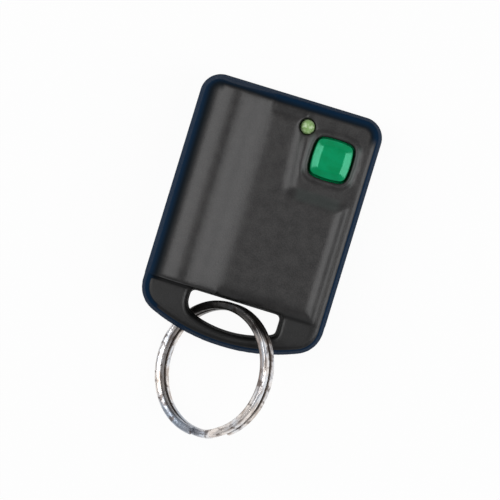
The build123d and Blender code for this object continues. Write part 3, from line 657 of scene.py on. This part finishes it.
# Black mouldings on the board
# The switch's base and plunger, the encoder chip, the transistor and the chip resistors, of black
# plastic or under a black coat. All but the plunger are fixed to the board by solder.
epoxy_dark = (0.010, 0.010, 0.011)
epoxy_light = (0.030, 0.030, 0.032)
epoxy_relief = 0.008 * mm
black_epoxy = Finish("black moulding")
epoxy_grain = black_epoxy.noise(0.15 * mm, 3)
paint(
    black_epoxy.surface(
        base_color=black_epoxy.blend(epoxy_grain, epoxy_dark, epoxy_light),
        roughness=0.45 + 0.25 * epoxy_grain,
        normal=black_epoxy.bump(epoxy_grain, epoxy_relief),
    ),
    "switch_base",
    "switch_plunger",
    "encoder_chip",
    "rf_transistor",
    "chip_resistors",
)


# Ceramic parts on the board
# Chip capacitors and the base of the trimmer, fired in tan ceramic and soldered to the board.
tan_dark = (0.50, 0.38, 0.24)
tan_light = (0.68, 0.56, 0.40)
tan_ceramic = Finish("tan ceramic")
ceramic_speck = tan_ceramic.noise(0.25 * mm, 3)
paint(
    tan_ceramic.surface(
        base_color=tan_ceramic.blend(ceramic_speck, tan_dark, tan_light),
        roughness=0.40 + 0.20 * ceramic_speck,
    ),
    "chip_capacitors",
    "trimmer_base",
)


# Battery
# A 12 V battery, held in the barrel between its two contacts. A plain dark sleeve with a gold band at
# the head end is shrunk round its can.
sleeve_dark = (0.055, 0.055, 0.060)
sleeve_gold = (0.50, 0.42, 0.20)
sleeve_band_y = (8 * mm, 8.3 * mm)
sleeve_relief = 0.03 * mm
sleeve_film = Finish("dark shrunk sleeve")
sleeve_band = sleeve_film.axes()[1].step(*sleeve_band_y)
sleeve_wrinkle = sleeve_film.noise(2.5 * mm, 3)
paint(
    sleeve_film.surface(
        base_color=sleeve_film.blend(sleeve_band, sleeve_dark, sleeve_gold),
        roughness=0.22 + 0.12 * sleeve_wrinkle,
        normal=sleeve_film.bump(sleeve_wrinkle, sleeve_relief),
    ),
    "battery_can",
)


# Table
# A white table that carries the soft shadow. The camera and the reflections see it almost plain white.
table_size = 4.0
table_drop = 0.02 * mm
table_grey = (0.85, 0.85, 0.85)
plain_share = 0.95
bpy.ops.object.select_all(action="DESELECT")
bpy.ops.mesh.primitive_plane_add(size=table_size, location=(0, 0, -table_drop))
table = bpy.context.object
table.name = "table"
table_white = Finish("white table")
rays = table_white.node("ShaderNodeLightPath").socket.node.outputs
camera_ray, glossy_ray, clear_ray = (
    Link(table_white, rays[f"Is {kind} Ray"]) for kind in ("Camera", "Glossy", "Transmission")
)
seen = camera_ray.largest(glossy_ray).largest(clear_ray) * plain_share
lit_white = table_white.node("ShaderNodeBsdfDiffuse", {"Color": table_grey})
plain_white = table_white.node("ShaderNodeEmission", {"Color": (1, 1, 1), "Strength": 1.0})
table_shader = table_white.node("ShaderNodeMixShader", {0: seen, 1: lit_white, 2: plain_white})
table.data.materials.append(table_white.done(table_shader))


# Light
# Two broad lamps, one at each side and about half way up, and a pale sky that is darker overhead, so
# that slopes catch light and flats stay dark.
sky_level = (0.50, 0.52, 0.55)
sky_overhead = (0.12, 0.12, 0.125)
sky_overhead_height = 0.85
sky_strength = 0.8
lamp_power = 1.3
lamp_width = 0.24
lamp_height = 0.50

sky = Finish("sky", world=True)
sky_height = sky.axes(sky.node("ShaderNodeTexCoord", output="Generated"))[2]
sky_stops = ((0, sky_level), (sky_overhead_height, sky_overhead))
sky_colour = sky.node("ShaderNodeValToRGB", {0: sky_height}, stops=sky_stops)
sky_light = sky.node("ShaderNodeBackground", {"Color": sky_colour, "Strength": sky_strength})
bpy.context.scene.world = sky.done(sky_light)


def side_lamp(name, place):
    """A broad lamp that faces the casing."""
    lamp = bpy.data.lights.new(name, "AREA")
    lamp.shape = "RECTANGLE"
    lamp.size = lamp_width
    lamp.size_y = lamp_height
    lamp.energy = lamp_power
    piece = bpy.data.objects.new(name, lamp)
    bpy.context.scene.collection.objects.link(piece)
    piece.location = place
    piece.rotation_euler = (-Vector(place)).to_track_quat("-Z", "Y").to_euler()


side_lamp("lamp_left", (-0.31, 0.02, 0.39))
side_lamp("lamp_right", (0.35, 0.02, 0.36))


# Camera
# Straight above the fob, turned so that the fob leans 17 degrees clockwise in the picture.
fob_lean = radians(17)
view_height = 0.5
view_width = 101.2 * mm
view_level = 10 * mm
view_right = -1.80 * mm
view_up = -5.82 * mm
film_width = 36
right = Vector((cos(fob_lean), sin(fob_lean), 0))
up = Vector((-sin(fob_lean), cos(fob_lean), 0))
back = Vector((0, 0, 1))
camera = bpy.data.cameras.new("camera")
camera.sensor_width = film_width
camera.lens = film_width * view_height / view_width
camera_piece = bpy.data.objects.new("camera", camera)
bpy.context.scene.collection.objects.link(camera_piece)
eye = right * view_right + up * view_up + back * (view_level + view_height)
camera_piece.matrix_world = Matrix.Translation(eye) @ Matrix((right, up, back)).transposed().to_4x4()
bpy.context.scene.camera = camera_piece
bpy.context.scene.view_settings.view_transform = "Standard"
